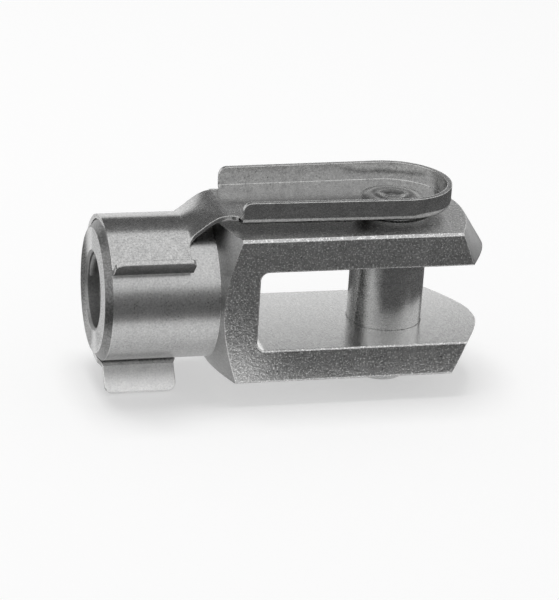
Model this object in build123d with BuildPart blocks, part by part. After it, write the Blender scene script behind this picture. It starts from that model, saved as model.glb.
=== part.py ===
from build123d import *
from math import asin, atan2, cos, hypot, pi, radians, sin, sqrt, tan
import os

# Clevis rod end with a spring clip, in millimetres.
# The origin is where the pin axis crosses the shank axis. +X points to the open end of the fork,
# +Z runs along the pin to the side that carries the clip, and -Y is the side where the clip opens.

# Fork
bar_width = 16.0
bar_edge_chamfer = 0.25
slot_width = 8.7
slot_depth = 16.0
slot_corner_radius = 0.9
slot_edge_chamfer = 0.15
tip_reach = 10.0
tip_nose_radius = 4.5
tip_cone_angle = 33.5
shank_length = 32.0
neck_diameter = 14.8
neck_length = 12.0
shoulder_angle = 26.5
shank_face_diameter = 13.2
shank_chamfer_length = 0.7
bore_diameter = 8.0
bore_mouth_diameter = 8.5
bore_mouth_depth = 0.25
pin_hole_chamfer = 0.3

# Pin
pin_diameter = 8.0
pin_running_clearance = 0.04
pin_end_reach = 2.7
pin_end_face_diameter = 5.0
pin_end_cone_length = 1.4
tenon_diameter = 5.0
tenon_clearance = 0.02
rivet_head_diameter = 6.6
rivet_head_height = 0.4
rivet_head_edge_height = 0.15
rivet_dish_diameter = 2.8
rivet_dish_depth = 0.2

# Spring clip
sheet_thickness = 0.5
web_gap = 0.8
flange_height = 2.45
lever_reach = 17.7
lever_rear_width = 11.6
lever_front_width = 12.4
lever_bend_radius = 0.3
flange_corner_radius = 0.85
strap_width = 8.0
strap_flat_length = 1.2
strap_corner_radius = 0.9
band_clearance = 0.08
band_width = 8.4
band_end_setback = 0.6
upper_lip_angle = 142.5
upper_lip_turn = 97.5
upper_lip_bend_radius = 0.6
upper_lip_length = 2.9
lower_lip_angle = -82.0
lower_lip_turn = 46.0
lower_lip_bend_radius = 2.2
lower_lip_length = 2.1
lip_corner_radius = 0.9
saddle_steps = 8
saddle_sag_power = 2.5
saddle_edge_margin = 0.2
saddle_thinning = 0.02
saddle_lap = 0.4

# Places on the fork that follow from its sizes. Both cones start at the turned radius, which lies
# past the bar's corners.
half_bar = bar_width / 2
neck_radius = neck_diameter / 2
turned_radius = 0.75 * bar_width
neck_end = neck_length - shank_length
shoulder_end = neck_end + (turned_radius - neck_radius) * tan(radians(shoulder_angle))
tip_cone_start = tip_reach - (turned_radius - tip_nose_radius) * tan(radians(tip_cone_angle))

# Places on the clip that follow from the fork and the sheet
web_bottom = half_bar + web_gap
web_top = web_bottom + sheet_thickness
band_inner_radius = neck_radius + band_clearance
band_outer_radius = band_inner_radius + sheet_thickness
band_rear = band_end_setback - shank_length
band_front = band_rear + band_width
saddle_start = -lever_reach - strap_flat_length
upper_lip_start = band_inner_radius * sin(radians(upper_lip_angle - 90))
strap_corner = min(strap_corner_radius, upper_lip_start - strap_width / 2 - 2 * saddle_edge_margin)
saddle_half_width = strap_width / 2 + strap_corner + saddle_edge_margin
lever_nose_radius = lever_front_width / 2
lever_taper = asin(lever_nose_radius / hypot(lever_reach, lever_rear_width / 2)) - atan2(
    lever_rear_width / 2, lever_reach
)


def lever_outline(inset, extension):
    """Outline of the lever seen from above: a round nose about the pin and two sides that taper
    to the rear, moved inwards by inset, with its rear edge moved back by extension."""
    nose = lever_nose_radius - inset
    rear = lever_reach + extension
    rear_half = (nose - rear * sin(lever_taper)) / cos(lever_taper)
    touch = (-nose * sin(lever_taper), nose * cos(lever_taper))
    Polyline(touch, (-rear, rear_half), (-rear, -rear_half), (touch[0], -touch[1]))
    ThreePointArc((touch[0], -touch[1]), (nose, 0), touch)


def band_line(radius, side):
    """One side of the band's section: the ring round the neck with both lips bent outwards.
    side is 1 on the outer face of the sheet and -1 on its inner face."""
    inset = side * sheet_thickness / 2
    ring = CenterArc((0, 0), radius, lower_lip_angle, upper_lip_angle - lower_lip_angle)
    upper_bend = JernArc(ring @ 1, ring % 1, upper_lip_bend_radius - inset, -upper_lip_turn)
    upper_lip = Line(upper_bend @ 1, upper_bend @ 1 + upper_lip_length * (upper_bend % 1))
    lower_bend = JernArc(ring @ 0, -(ring % 0), lower_lip_bend_radius - inset, lower_lip_turn)
    lower_lip = Line(lower_bend @ 1, lower_bend @ 1 + lower_lip_length * (lower_bend % 1))
    return upper_lip @ 1, lower_lip @ 1


def saddle_section(share, lap=0):
    """Section of the saddle at one step between the flat web and the round band: the sheet sinks
    along a cosine, takes on the band's curve and thins a little on both faces."""
    sunk = (web_top - band_outer_radius) * (1 - cos(pi * share)) / 2
    round_sag = band_outer_radius - sqrt(band_outer_radius**2 - saddle_half_width**2)
    sag = round_sag * share**saddle_sag_power
    half_turn = 2 * atan2(sag, saddle_half_width)
    rise = saddle_half_width * tan(half_turn)
    place = saddle_start + (band_front - saddle_start) * share + lap
    with BuildSketch(Plane.YZ.offset(place)) as section:
        with BuildLine():
            left, right = -saddle_half_width, saddle_half_width
            high = web_top - sunk - sag - saddle_thinning / 2
            low = high - sheet_thickness + saddle_thinning
            weights = [1, cos(half_turn), 1]
            Bezier((left, high), (0, high + rise), (right, high), weights=weights)
            Line((right, high), (right, low))
            Bezier((right, low), (0, low + rise), (left, low), weights=weights)
            Line((left, low), (left, high))
        make_face()
    return section.sketch


with BuildPart() as fork:
    # square bar along the shank axis
    with BuildSketch(Plane.YZ.offset(-shank_length)):
        Rectangle(bar_width, bar_width)
    extrude(amount=shank_length + tip_reach)
    chamfer(fork.edges().filter_by(Axis.X), bar_edge_chamfer)
    # turned outline with the end chamfer, the neck, the shoulder cone and the tip cone
    with BuildSketch(Plane.XY):
        with BuildLine():
            Polyline(
                (-shank_length, 0),
                (-shank_length, shank_face_diameter / 2),
                (shank_chamfer_length - shank_length, neck_radius),
                (neck_end, neck_radius),
                (shoulder_end, turned_radius),
                (tip_cone_start, turned_radius),
                (tip_reach, tip_nose_radius),
                (tip_reach, 0),
                close=True,
            )
        make_face()
    revolve(axis=Axis.X, mode=Mode.INTERSECT)
    # slot between the ears, with rounded inner corners
    with BuildSketch(Plane.XZ) as slot_sketch:
        with Locations((-slot_depth, 0)):
            Rectangle(slot_depth + 2 * tip_reach, slot_width, align=(Align.MIN, Align.CENTER))
        fillet(slot_sketch.vertices().group_by(Axis.X)[0], slot_corner_radius)
    extrude(amount=bar_width, both=True, mode=Mode.SUBTRACT)
    # broken edges where the slot comes out at both sides
    side_faces = fork.faces().filter_by(Axis.Y).group_by(Axis.Y)
    slot_rims = (side_faces[0] + side_faces[-1]).edges().filter_by_position(
        Axis.Z, -slot_width / 2 - slot_edge_chamfer, slot_width / 2 + slot_edge_chamfer
    )
    chamfer(slot_rims.filter_by(GeomType.HYPERBOLA, reverse=True), slot_edge_chamfer)
    # cross hole for the pin, with its outer rims broken
    with Locations(Plane.XY.offset(half_bar)):
        Hole(pin_diameter / 2 + pin_running_clearance)
    round_edges = fork.edges().filter_by(GeomType.CIRCLE).group_by(Axis.Z)
    chamfer(round_edges[0] + round_edges[-1], pin_hole_chamfer)
    # bore for the rod's thread, open to the slot, with a countersunk mouth
    with BuildSketch(Plane.XY):
        with BuildLine():
            Polyline(
                (-shank_length, 0),
                (-shank_length, bore_mouth_diameter / 2),
                (bore_mouth_depth - shank_length, bore_diameter / 2),
                (-slot_depth, bore_diameter / 2),
                (-slot_depth, 0),
                close=True,
            )
        make_face()
    revolve(axis=Axis.X, mode=Mode.SUBTRACT)

with BuildPart() as pin:
    with BuildSketch(Plane.XZ):
        with BuildLine():
            pin_foot = -half_bar - pin_end_reach
            head_top = web_top + rivet_head_height
            Polyline(
                (0, pin_foot),
                (pin_end_face_diameter / 2, pin_foot),
                (pin_diameter / 2, pin_foot + pin_end_cone_length),
                (pin_diameter / 2, web_bottom),
                (tenon_diameter / 2, web_bottom),
                (tenon_diameter / 2, web_top),
                (rivet_head_diameter / 2, web_top),
                (rivet_head_diameter / 2, web_top + rivet_head_edge_height),
            )
            crown = ThreePointArc(
                (rivet_head_diameter / 2, web_top + rivet_head_edge_height),
                ((rivet_head_diameter + rivet_dish_diameter) / 4, head_top - rivet_head_edge_height / 3),
                (rivet_dish_diameter / 2, head_top),
            )
            Polyline(crown @ 1, (0, head_top - rivet_dish_depth), (0, pin_foot))
        make_face()
    revolve(axis=Axis.Z)

with BuildPart() as spring_clip:
    # lever: a flat web with a flange round its sides and nose, open at the rear
    with BuildSketch(Plane.XY.offset(web_bottom)):
        with BuildLine():
            lever_outline(0, 0)
        make_face()
    extrude(amount=flange_height)
    outer_bends = spring_clip.faces().sort_by(Axis.Z)[0].edges().sort_by(Axis.X)[1:]
    fillet(outer_bends, lever_bend_radius + sheet_thickness)
    with BuildSketch(Plane.XY.offset(web_top)):
        with BuildLine():
            lever_outline(sheet_thickness, sheet_thickness)
        make_face()
    extrude(amount=flange_height, mode=Mode.SUBTRACT)
    # round corners on the flange ends
    fillet(spring_clip.edges().filter_by(Axis.Y).group_by(Axis.Z)[-1], flange_corner_radius)
    # saddle: a flat strap that sinks to the neck and becomes round
    with BuildSketch(Plane.XY.offset(web_bottom)):
        with Locations((saddle_start, 0)):
            Rectangle(strap_flat_length, 2 * saddle_half_width, align=(Align.MIN, Align.CENTER))
    extrude(amount=sheet_thickness)
    sections = [saddle_section(step / saddle_steps) for step in range(saddle_steps + 1)]
    loft([saddle_section(0, saddle_lap), *sections, saddle_section(1, -saddle_lap)])
    # band round the neck with an upper lip and a lower thumb tab
    with BuildSketch(Plane.YZ.offset(band_rear)):
        with BuildLine():
            outer_ends = band_line(band_outer_radius, 1)
            inner_ends = band_line(band_inner_radius, -1)
            Line(outer_ends[0], inner_ends[0])
            Line(outer_ends[1], inner_ends[1])
        make_face()
    extrude(amount=band_width)
    # the strap's sides, with round corners towards the lever and the band
    with BuildSketch(Plane.XY) as strap_sides:
        for side in (-1, 1):
            with Locations(((saddle_start + strap_flat_length + band_front) / 2, side * strap_width)):
                Rectangle(-lever_reach - band_front, strap_width)
        inner_corners = strap_sides.vertices().filter_by_position(Axis.Y, -strap_width, strap_width)
        fillet(inner_corners, strap_corner)
    extrude(amount=2 * bar_width, mode=Mode.SUBTRACT)
    # hole for the pin's tenon
    with Locations(Plane.XY.offset(web_top)):
        Hole(tenon_diameter / 2 + tenon_clearance, depth=2 * sheet_thickness)
    # round corners on both lips
    lip_middles = [(outer + inner) / 2 for outer, inner in zip(outer_ends, inner_ends)]
    lip_corners = [
        spring_clip.edges().sort_by_distance((place, middle.X, middle.Y))[0]
        for middle in lip_middles
        for place in (band_rear, band_front)
    ]
    fillet(lip_corners, lip_corner_radius)

os.makedirs("parts", exist_ok=True)
fork.part.label = "fork"
pin.part.label = "pin"
spring_clip.part.label = "spring_clip"
export_step(fork.part, "parts/fork.step")
export_step(pin.part, "parts/pin.step")
export_step(spring_clip.part, "parts/spring_clip.step")
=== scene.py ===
"""Looks of a clevis rod end with a spring clip: metal finishes, rod thread, floor, light, camera."""
from math import atan2, ceil, cos, degrees, hypot, pi, radians, sin

import bmesh
import bpy
from mathutils import Matrix, Vector


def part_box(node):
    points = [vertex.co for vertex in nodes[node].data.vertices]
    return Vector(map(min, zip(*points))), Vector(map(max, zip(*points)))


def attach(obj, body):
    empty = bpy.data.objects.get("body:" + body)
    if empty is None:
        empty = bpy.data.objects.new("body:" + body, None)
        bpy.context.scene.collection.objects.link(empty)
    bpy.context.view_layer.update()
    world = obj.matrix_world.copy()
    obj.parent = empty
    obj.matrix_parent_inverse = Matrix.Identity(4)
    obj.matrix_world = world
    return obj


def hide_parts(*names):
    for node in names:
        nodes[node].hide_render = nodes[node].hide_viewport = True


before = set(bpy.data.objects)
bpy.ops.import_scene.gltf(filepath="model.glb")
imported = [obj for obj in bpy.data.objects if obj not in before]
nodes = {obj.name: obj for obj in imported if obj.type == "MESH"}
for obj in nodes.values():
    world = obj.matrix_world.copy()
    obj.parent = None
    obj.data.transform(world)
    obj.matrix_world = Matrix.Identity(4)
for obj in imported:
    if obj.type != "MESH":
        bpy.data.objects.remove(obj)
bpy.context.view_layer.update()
mm = 0.001

# The camera was fitted to the photograph: degrees and millimetres.
camera_azimuth = -15.773
camera_elevation = 21.81
camera_roll = 3.677
camera_distance = 315.476
camera_aim = Vector((-11.69, 0, -1.979))
camera_lens = 177.86
film_height = 36

# Light: the floor and the world look white, and dark screens give the metal something to mirror.
world_light = 0.45
lamp_power = 1.8
lamp_place = (-0.05, 0.05, 0.6)
lamp_size = 0.3
floor_colour = 0.62
floor_top_up = 0.42
floor_half = 2.0

# The clip's band and what the shown clip changes on its lips: millimetres and degrees.
band_middle_radius = 7.73
band_middle = -27.2
band_width = 8.4
tab_stretch_start = -25
tab_setback = 0.4
lip_shortening = 0.6


class Finish:
    """A material, and the kinds of node that its pattern is made of. Sizes are in millimetres."""

    def __init__(self, name, **sockets):
        self.material = bpy.data.materials.new(name)
        self.material.use_nodes = True
        self.tree = self.material.node_tree
        self.surface = self.tree.nodes["Principled BSDF"]
        for key, value in sockets.items():
            self.surface.inputs[key.replace("_", " ").title()].default_value = value
        self.place = self.add("ShaderNodeTexCoord").outputs["Object"]

    def add(self, kind, inputs=(), **settings):
        node = self.tree.nodes.new(kind)
        for key, value in settings.items():
            setattr(node, key, value)
        for key, value in dict(inputs).items():
            self.give(node.inputs[key], value)
        return node

    def give(self, socket, value):
        if isinstance(value, bpy.types.Node):
            value = value.outputs[0]
        if isinstance(value, bpy.types.NodeSocket):
            self.tree.links.new(value, socket)
        else:
            socket.default_value = value

    def maths(self, operation, *values):
        return self.add("ShaderNodeMath", enumerate(values), operation=operation)

    def total(self, *shares):
        """The sum of patterns, each given as a pair of pattern and weight."""
        result = 0.0
        for pattern, weight in shares:
            result = self.maths("MULTIPLY_ADD", pattern, weight, result)
        return result

    def remap(self, value, low, high, new_low=0.0, new_high=1.0):
        return self.add("ShaderNodeMapRange", enumerate((value, low, high, new_low, new_high)))

    def noise(self, size, detail=2.0, roughness=0.5, stretch=(1, 1, 1), vector=None):
        """A random pattern from 0 to 1 whose spots are about size across, longer along stretch."""
        scale = [1 / (mm * size * share) for share in stretch]
        moved = self.add("ShaderNodeVectorMath", {0: vector or self.place, 1: scale}, operation="MULTIPLY")
        return self.add(
            "ShaderNodeTexNoise", {"Vector": moved, "Scale": 1.0, "Detail": detail, "Roughness": roughness}
        )

    def grit(self):
        """Fine light and dark grains."""
        return self.remap(self.noise(0.2, detail=2.0, roughness=0.7), 0.3, 0.7)

    def turning(self, axis):
        """A vector of the place along an axis and the distance from it, for marks left by a lathe."""
        parts = self.add("ShaderNodeSeparateXYZ", {0: self.place}).outputs
        along = parts[axis]
        across = [parts[other] for other in range(3) if other != axis]
        square = self.maths("MULTIPLY", across[1], across[1])
        squares = self.maths("MULTIPLY_ADD", across[0], across[0], square)
        return self.add("ShaderNodeCombineXYZ", {0: along, 1: self.maths("SQRT", squares)}).outputs[0]

    def edges(self, radius):
        """The normal with its edges rounded, and a mask that is 1 on those edges. The finishes lighten
        their colour by this mask: partly edge wear, partly a painted highlight.
        """
        rounded = self.add("ShaderNodeBevel", {"Radius": radius * mm}, samples=6).outputs[0]
        plain = self.add("ShaderNodeNewGeometry").outputs["Normal"]
        likeness = self.add("ShaderNodeVectorMath", {0: rounded, 1: plain}, operation="DOT_PRODUCT")
        return rounded, self.remap(likeness.outputs["Value"], 0.995, 0.93)

    def bump(self, height, depth, normal):
        return self.add("ShaderNodeBump", {"Height": height, "Distance": depth * mm, "Normal": normal})

    def paint(self, shade, cool, warm, roughness, normal):
        """Base colour from cool to warm by shade, and the roughness and normal."""
        mix = self.add("ShaderNodeMix", {0: shade, 6: (*cool, 1), 7: (*warm, 1)}, data_type="RGBA")
        self.give(self.surface.inputs["Base Color"], mix.outputs[2])
        self.give(self.surface.inputs["Roughness"], roughness)
        self.give(self.surface.inputs["Normal"], normal)


def rolled_steel():
    """Skin of the drawn square bar: dark, pitted grain with bright specks."""
    skin = Finish("rolled_steel", metallic=1.0)
    rounded, edge_wear_and_highlight = skin.edges(0.16)
    grain = skin.noise(0.3, detail=3.0, roughness=0.6)
    clouds = skin.noise(3.5, detail=3.0)
    specks = skin.remap(skin.noise(0.2, detail=1.0, roughness=0.7), 0.56, 0.68)
    # The edge mask lightens the edges: partly edge wear, partly painted highlight.
    shade = skin.total((clouds, 0.25), (grain, 0.65), (specks, 0.95), (edge_wear_and_highlight, 0.45))
    roughness = skin.total((grain, 0.25), (specks, 0.12), (edge_wear_and_highlight, -0.15), (1.0, 0.2))
    normal = skin.bump(grain, 0.05, rounded)
    skin.paint(shade, (0.14, 0.14, 0.145), (0.95, 0.95, 0.94), roughness, normal)
    return skin.material


def turned_steel(name, axis, low, high, depth, gloss, line=0.09, dish=0.0):
    """Lathe marks round an axis over slow clouds and fine grit. dish is how steeply the bump makes the
    face rise away from the axis."""
    skin = Finish(name, metallic=1.0)
    rounded, edge_wear_and_highlight = skin.edges(0.12)
    turning = skin.turning(axis)
    lines = skin.noise(line, detail=3.0, roughness=0.7, vector=turning)
    bands = skin.noise(1.1, detail=2.0, vector=turning)
    clouds = skin.noise(2.4, detail=3.0)
    grit = skin.grit()
    # The edge mask lightens the edges: partly edge wear, partly painted highlight.
    shade = skin.total(
        (clouds, 0.3), (lines, 0.2), (bands, 0.3), (grit, 0.7), (edge_wear_and_highlight, 0.4), (1.0, -0.22)
    )
    roughness = skin.total((lines, 0.1), (clouds, 0.1), (grit, 0.06), (edge_wear_and_highlight, -0.08), (1.0, gloss))
    height = skin.maths("MULTIPLY", lines, depth * mm)
    if dish:
        radius = skin.add("ShaderNodeSeparateXYZ", {0: turning}).outputs[1]
        height = skin.maths("MULTIPLY_ADD", radius, dish, height)
    normal = skin.add("ShaderNodeBump", {"Height": height, "Distance": 1.0, "Normal": rounded})
    skin.paint(shade, (low, low, low * 1.01), (high, high, high * 0.99), roughness, normal)
    return skin.material


def milled_steel():
    """Slot faces: light, mottled, with faint cutter marks."""
    skin = Finish("milled_steel", metallic=1.0)
    rounded, edge_wear_and_highlight = skin.edges(0.12)
    marks = skin.noise(0.25, detail=3.0, roughness=0.6, stretch=(0.5, 6, 1))
    mottle = skin.noise(0.8, detail=4.0, roughness=0.65)
    grit = skin.grit()
    # The edge mask lightens the edges: partly edge wear, partly painted highlight.
    shade = skin.total((mottle, 0.5), (marks, 0.2), (grit, 0.6), (edge_wear_and_highlight, 0.4), (1.0, -0.15))
    roughness = skin.total((mottle, 0.12), (marks, 0.08), (1.0, 0.1))
    normal = skin.bump(marks, 0.006, rounded)
    skin.paint(shade, (0.64, 0.64, 0.64), (0.99, 0.99, 0.98), roughness, normal)
    return skin.material


def riveted_steel():
    """The pin's riveted end: rings bumped as riveting marks, and light and dark rings round a bright
    middle in its colour, partly marks and partly painted highlight and shade.
    """
    skin = Finish("riveted_steel", metallic=1.0)
    rounded, edge_wear_and_highlight = skin.edges(0.1)
    radius = skin.add("ShaderNodeSeparateXYZ", {0: skin.turning(2)}).outputs[1]
    ring_pitch = 1.3 * mm
    rings = skin.maths("COSINE", skin.maths("MULTIPLY", radius, 2 * pi / ring_pitch))
    mottle = skin.noise(0.5, detail=3.0)
    # The colour's rings and bright middle are partly riveting marks, partly painted highlight and shade.
    # The edge mask lightens the edges: partly edge wear, partly painted highlight.
    shade = skin.total((rings, 0.24), (mottle, 0.6), (edge_wear_and_highlight, 0.3), (1.0, 0.2))
    roughness = skin.total((mottle, 0.15), (1.0, 0.16))
    normal = skin.bump(rings, 0.025, rounded)
    skin.paint(shade, (0.16, 0.16, 0.16), (0.95, 0.95, 0.94), roughness, normal)
    return skin.material


def spring_sheet(name, low, high, gloss=0.12):
    """Bright rolled spring steel with soft mottling, fine rolling lines and small pits."""
    skin = Finish(name, metallic=1.0)
    rounded, edge_wear_and_highlight = skin.edges(0.14)
    mottle = skin.noise(1.2, detail=4.0, roughness=0.65)
    rolling = skin.noise(0.12, detail=3.0, roughness=0.6, stretch=(14, 1, 1))
    pits = skin.remap(skin.noise(0.25, detail=1.0), 0.66, 0.74)
    grit = skin.grit()
    # The edge mask lightens the edges: partly edge wear, partly painted highlight.
    shade = skin.total(
        (mottle, 0.6), (rolling, 0.15), (grit, 0.65), (pits, -0.25), (edge_wear_and_highlight, 0.45), (1.0, -0.32)
    )
    roughness = skin.total((mottle, 0.1), (rolling, 0.05), (pits, 0.15), (1.0, gloss))
    normal = skin.bump(mottle, 0.012, rounded)
    skin.paint(shade, (low, low, low), (high, high, high * 0.99), roughness, normal)
    return skin.material


def give_finishes(node, finishes, zone_of):
    """The node's faces take the finish that zone_of names, by their middle in millimetres and normal."""
    mesh = node.data
    mesh.materials.clear()
    names = list(finishes)
    for name in names:
        mesh.materials.append(finishes[name])
    for face in mesh.polygons:
        face.material_index = names.index(zone_of(face.center / mm, face.normal))


def fork_zone(middle, normal):
    """The finish of a face of the fork. A turned face's normal has no share sideways round the X axis."""
    half_slot, neck_radius, bore_radius, mouth_widening = 4.35, 7.4, 4.0, 0.3
    slot_floor, shoulder, end, chamfer_size = -16.0, -19.9, -32.0, 0.75
    near = 0.05
    radius = hypot(middle.y, middle.z)
    turned = abs(normal.z * middle.y - normal.y * middle.z) / max(radius, 0.1) < 0.2
    if middle.x < end + near:
        return "end"
    if middle.x < end + chamfer_size and radius > neck_radius - chamfer_size and abs(normal.x) > 0.3:
        return "chamfer"
    if radius < bore_radius + mouth_widening and middle.x < slot_floor + 2 * near and abs(normal.x) < 0.95:
        return "bore"
    if abs(middle.z) < half_slot + near and middle.x > slot_floor - 2 * near and abs(normal.y) < 0.4:
        return "slot"
    if middle.x < shoulder and radius < neck_radius + 2 * near and turned:
        return "turned"
    if abs(normal.x) > 0.15 and turned:
        return "cone" if middle.x < slot_floor else "turned"
    return "bar"


def clip_zone(middle, normal):
    """The upper lip's lower face is painted darker, a painted shade, and the thumb tab's forward faces are
    painted lighter, a painted highlight; the rest is bright sheet.
    """
    on_upper_lip = middle.y < -6.6 and middle.z > 4.6
    on_tab = middle.z < -8.2
    # The tab's forward faces take the lighter copy of the sheet: a painted highlight.
    if on_tab and normal.y < -0.4:
        return "tab"
    # The upper lip's lower face takes the darker copy of the sheet: painted shade.
    if on_upper_lip and normal.y < -0.5 and normal.z < -0.3:
        return "lip"
    return "sheet"


def pin_zone(middle, normal):
    """The riveted head lies above the clip's web, the rest of the pin below it."""
    web_bottom = 8.5
    return "rivet" if middle.z > web_bottom else "pin"


def thread_ridge(name, root_radius, crest_radius, pitch, start, end):
    """A closed ridge that winds round the X axis inside a bore and runs out into its wall at both ends."""
    steps_a_turn = 48
    root_half, crest_half = 0.43 * pitch, 0.13 * pitch
    buried = 0.03
    start, end = start + root_half, end - root_half
    steps = ceil((end - start) / pitch * steps_a_turn)
    run_out = steps_a_turn / 3
    build = bmesh.new()
    rings = []
    for step in range(steps + 1):
        height = max(0.02, min(1, step / run_out, (steps - step) / run_out))
        crest = root_radius - height * (root_radius - crest_radius)
        x = start + (end - start) * step / steps
        turn = 2 * pi * step / steps_a_turn
        section = (
            (-root_half, root_radius + buried), (-crest_half, crest),
            (crest_half, crest), (root_half, root_radius + buried),
        )
        rings.append([
            build.verts.new(Vector((x + shift, radius * cos(turn), radius * sin(turn))) * mm)
            for shift, radius in section
        ])
    for ring, after in zip(rings, rings[1:]):
        for corner in range(4):
            following = (corner + 1) % 4
            build.faces.new((ring[corner], ring[following], after[following], after[corner]))
    build.faces.new(rings[0])
    build.faces.new(reversed(rings[-1]))
    bmesh.ops.recalc_face_normals(build, faces=build.faces)
    mesh = bpy.data.meshes.new(name)
    build.to_mesh(mesh)
    build.free()
    for face in mesh.polygons:
        face.use_smooth = True
    mesh.set_sharp_from_angle(angle=radians(30))
    ridge = bpy.data.objects.new(name, mesh)
    bpy.context.scene.collection.objects.link(ridge)
    return ridge


def ray(angle):
    """Unit vector in the YZ plane, degrees from +Y towards +Z."""
    return Vector((0, cos(radians(angle)), sin(radians(angle))))


class Bend:
    """A lip's section in the middle of the sheet: the band's ring to an angle, a bend outwards, then a
    flat end. out is how far a place lies from the sheet's middle, positive away from the neck."""

    def __init__(self, angle, turn, radius, length):
        self.angle, self.turn, self.radius, self.length = angle, turn, radius, length
        self.side = 1 if angle < 0 else -1
        self.centre = (band_middle_radius + radius) * ray(angle)
        self.last = angle + self.side * turn
        self.along = ray(self.last - self.side * 90)

    def on_bend(self, share, out):
        return self.centre - (self.radius - out) * ray(self.angle + self.side * share * self.turn)

    def on_flat(self, step, out):
        return self.on_bend(1, out) + step * self.along

    def find(self, place):
        """The part of the section that a place lies on, how far along it is and how far out. The reaches
        are half the sheet with a margin."""
        ring_reach, flat_reach, rounding = 0.28, 0.3, 0.001
        from_centre = Vector((0, place.y, place.z)) - self.centre
        step = from_centre.dot(self.along)
        out = from_centre.dot(ray(self.last)) + self.radius
        if step > -rounding and abs(out) < flat_reach:
            return "flat", step, out
        share = ray(self.angle).angle(-from_centre) / radians(self.turn)
        past_ring = -from_centre.dot(ray(self.angle + self.side * 90)) > rounding
        if past_ring or place.yz.length > band_middle_radius + ring_reach:
            return "bend", share, self.radius - from_centre.length
        return "ring", 0, 0


def moved_on_tab(place):
    """Where a place on the clip's lower half goes, and the degrees that the sheet turns there."""
    flat_start = 0.1
    part, along, out = old_tab.find(place)
    if part == "ring":
        angle = degrees(atan2(place.z, place.y))
        share = min(1, max(0, (tab_stretch_start - angle) / (tab_stretch_start - old_tab.angle)))
        turned = share * (new_tab.angle - old_tab.angle)
        target = place.yz.length * ray(angle + turned)
        narrowing = 0
    elif part == "bend":
        turned = new_tab.angle - old_tab.angle + along * (new_tab.turn - old_tab.turn)
        target = new_tab.on_bend(along, out)
        narrowing = along
    else:
        turned = new_tab.last - old_tab.last
        from_end = old_tab.length - along
        target = new_tab.on_flat(new_tab.length - from_end if along > flat_start else along, out)
        narrowing = 1
    target.x = band_middle + (place.x - band_middle) * (1 - narrowing * 2 * tab_setback / band_width)
    return target, turned


def on_lip_end(place):
    """Whether a place lies on the flat end of the clip's upper lip, past its start."""
    lip_bottom, lip_rear, flat_start = 3, -6.5, 0.3
    if place.z <= lip_bottom or place.y >= lip_rear:
        return False
    part, along = upper_lip.find(place)[:2]
    return part == "flat" and along > flat_start


def formed_clip(name, node):
    """The clip with its thumb tab set further round and longer, and with a shorter upper lip."""
    lower_half_top = -3
    mesh = node.data.copy()
    normals = [corner.vector.copy() for corner in mesh.corner_normals]
    turns = []
    for vertex in mesh.vertices:
        place = vertex.co / mm
        turned = 0
        if place.z < lower_half_top:
            target, turned = moved_on_tab(place)
            vertex.co = target * mm
        elif on_lip_end(place):
            vertex.co = (place - lip_shortening * upper_lip.along) * mm
        turns.append(Matrix.Rotation(radians(turned), 3, "X"))
    turned_normals = [turns[loop.vertex_index] @ normals[loop.index] for loop in mesh.loops]
    mesh.normals_split_custom_set(turned_normals)
    piece = bpy.data.objects.new(name, mesh)
    bpy.context.scene.collection.objects.link(piece)
    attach(piece, "clip")
    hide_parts("spring_clip")
    return piece


def panel(name, corners, material):
    """A flat stage piece of four corners, in metres."""
    mesh = bpy.data.meshes.new(name)
    mesh.from_pydata(corners, [], [(0, 1, 2, 3)])
    mesh.materials.append(material)
    piece = bpy.data.objects.new(name, mesh)
    bpy.context.scene.collection.objects.link(piece)
    return piece


def seen_share(tree):
    """1 for what the camera, a mirror or glass sees, 0 for light that falls on matt things."""
    path = tree.nodes.new("ShaderNodeLightPath")
    total = None
    for kind in ("Is Camera Ray", "Is Glossy Ray", "Is Transmission Ray"):
        adding = tree.nodes.new("ShaderNodeMath")
        adding.operation = "ADD"
        adding.use_clamp = True
        tree.links.new(path.outputs[kind], adding.inputs[0])
        if total:
            tree.links.new(total, adding.inputs[1])
        else:
            adding.inputs[1].default_value = 0.0
        total = adding.outputs[0]
    return total


def scaled(tree, share, low, high):
    spread = tree.nodes.new("ShaderNodeMapRange")
    tree.links.new(share, spread.inputs[0])
    spread.inputs[3].default_value = low
    spread.inputs[4].default_value = high
    return spread.outputs[0]


def screen(name, corners, low, high, low_z, high_z):
    """A dark screen that only mirrors see, from a low to a high brightness with its height."""
    glow = Finish(name, metallic=0.0)
    height = glow.add("ShaderNodeSeparateXYZ", {0: glow.place}).outputs[2]
    brightness = glow.remap(height, low_z * mm, high_z * mm, low, high)
    emission = glow.add("ShaderNodeEmission", {"Strength": brightness})
    output = glow.tree.nodes["Material Output"]
    glow.tree.links.new(emission.outputs[0], output.inputs["Surface"])
    piece = panel(name, [Vector(corner) * mm for corner in corners], glow.material)
    piece.visible_camera = False
    piece.visible_diffuse = False
    piece.visible_shadow = False


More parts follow.
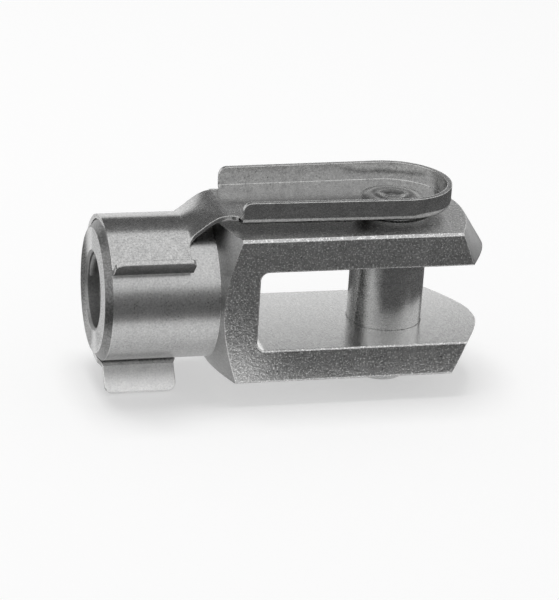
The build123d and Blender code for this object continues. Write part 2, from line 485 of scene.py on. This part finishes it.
# Finishes
fork_finishes = {
    "bar": rolled_steel(),
    "turned": turned_steel("turned_steel", 0, 0.36, 0.68, 0.004, 0.18),
    "end": turned_steel("faced_steel", 0, 0.4, 0.8, 0.01, 0.14, line=0.2, dish=0.42),
    # The chamfer takes a darker copy of the turned steel: painted shade.
    "chamfer": turned_steel("chamfered_steel_painted_shade", 0, 0.06, 0.36, 0.004, 0.2),
    "cone": turned_steel("cone_steel", 0, 0.24, 0.52, 0.006, 0.22),
    "slot": milled_steel(),
    "bore": turned_steel("bored_steel", 0, 0.2, 0.42, 0.006, 0.36),
}
give_finishes(nodes["fork"], fork_finishes, fork_zone)
pin_finishes = {
    "pin": turned_steel("pin_steel", 2, 0.34, 0.66, 0.003, 0.14),
    "rivet": riveted_steel(),
}
give_finishes(nodes["pin"], pin_finishes, pin_zone)
clip_finishes = {
    "sheet": spring_sheet("spring_sheet", 0.34, 0.78),
    # A darker copy of the spring sheet: painted shade on the upper lip's lower face.
    "lip": spring_sheet("spring_sheet_painted_shade", 0.22, 0.56),
    # A lighter copy of the spring sheet: painted highlight on the thumb tab's forward faces.
    "tab": spring_sheet("spring_sheet_painted_highlight", 0.7, 1.0, gloss=0.28),
}
old_tab = Bend(angle=-82, turn=46, radius=2.2, length=2.1)
new_tab = Bend(angle=-96, turn=56, radius=1.0, length=2.94)
upper_lip = Bend(angle=142.5, turn=97.5, radius=0.6, length=2.9)
clip = formed_clip("spring_clip_formed", nodes["spring_clip"])
give_finishes(clip, clip_finishes, clip_zone)

# Thread of the bore
thread = thread_ridge("rod_thread", root_radius=4.0, crest_radius=3.35, pitch=1.25, start=-31.7, end=-16.3)
thread.data.materials.append(fork_finishes["bore"])
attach(thread, "fork")

# Floor
floor_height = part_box("pin")[0].z
floor_finish = Finish("floor_white", metallic=0.0, roughness=1.0)
floor_finish.surface.inputs["Base Color"].default_value = (floor_colour, floor_colour, floor_colour, 1)
floor_finish.surface.inputs["Specular IOR Level"].default_value = 0.0
floor_finish.surface.inputs["Emission Color"].default_value = (1, 1, 1, 1)
floor_finish.give(
    floor_finish.surface.inputs["Emission Strength"],
    scaled(floor_finish.tree, seen_share(floor_finish.tree), 0.0, floor_top_up),
)
panel(
    "floor",
    [(x * floor_half, y * floor_half, floor_height) for x, y in ((-1, -1), (1, -1), (1, 1), (-1, 1))],
    floor_finish.material,
)

# Dark screens for the metal to mirror. Those on the floor leave it bright near the object and in
# a strip behind it, which the end face mirrors.
screen_dark = 0.13
low_screen_height = -10.5
screen(
    "screen_behind", [(-260, 150, 61), (240, 150, 61), (240, 150, 321), (-260, 150, 321)],
    low=screen_dark, high=0.26, low_z=61, high_z=321,
)
screen(
    "screen_front",
    [(-150, -60, low_screen_height), (150, -60, low_screen_height), (150, -60, 20), (-150, -60, 20)],
    low=screen_dark, high=0.2, low_z=-10, high_z=20,
)
low_screens = {
    "front": (-150, 150, -60, -22),
    "ear": (-13, 20, -22, -12.5),
    "left": (-130, -44, -22, 80),
    "right": (20, 130, -22, 80),
    "rear": (-33, 20, 12, 80),
}
for name, (near_x, far_x, near_y, far_y) in low_screens.items():
    corners = [(near_x, near_y), (far_x, near_y), (far_x, far_y), (near_x, far_y)]
    screen(
        "screen_" + name + "_low", [(x, y, low_screen_height) for x, y in corners],
        low=screen_dark, high=screen_dark, low_z=-11, high_z=0,
    )

# World
world = bpy.data.worlds.new("studio")
bpy.context.scene.world = world
world.use_nodes = True
background = world.node_tree.nodes["Background"]
background.inputs["Color"].default_value = (1, 1, 1, 1)
strength = scaled(world.node_tree, seen_share(world.node_tree), world_light, 1.0)
world.node_tree.links.new(strength, background.inputs["Strength"])

# Lamp
lamp_data = bpy.data.lights.new("softbox", "AREA")
lamp_data.size = lamp_size
lamp_data.energy = lamp_power
lamp = bpy.data.objects.new("softbox", lamp_data)
lamp.location = lamp_place
lamp.visible_glossy = False
bpy.context.scene.collection.objects.link(lamp)

# Camera
azimuth, elevation, roll = (radians(angle) for angle in (camera_azimuth, camera_elevation, camera_roll))
back = Vector((sin(azimuth) * cos(elevation), -cos(azimuth) * cos(elevation), sin(elevation)))
level_right = Vector((cos(azimuth), sin(azimuth), 0))
level_up = back.cross(level_right)
right = cos(roll) * level_right + sin(roll) * level_up
up = cos(roll) * level_up - sin(roll) * level_right
camera_data = bpy.data.cameras.new("camera")
camera_data.sensor_fit = "VERTICAL"
camera_data.sensor_height = film_height
camera_data.lens = camera_lens
camera_data.clip_start = 0.01
camera = bpy.data.objects.new("camera", camera_data)
camera.matrix_world = Matrix.Translation((camera_aim + back * camera_distance) * mm) @ Matrix(
    (right, up, back)
).transposed().to_4x4()
bpy.context.scene.collection.objects.link(camera)
bpy.context.scene.camera = camera
bpy.context.scene.view_settings.view_transform = "Standard"
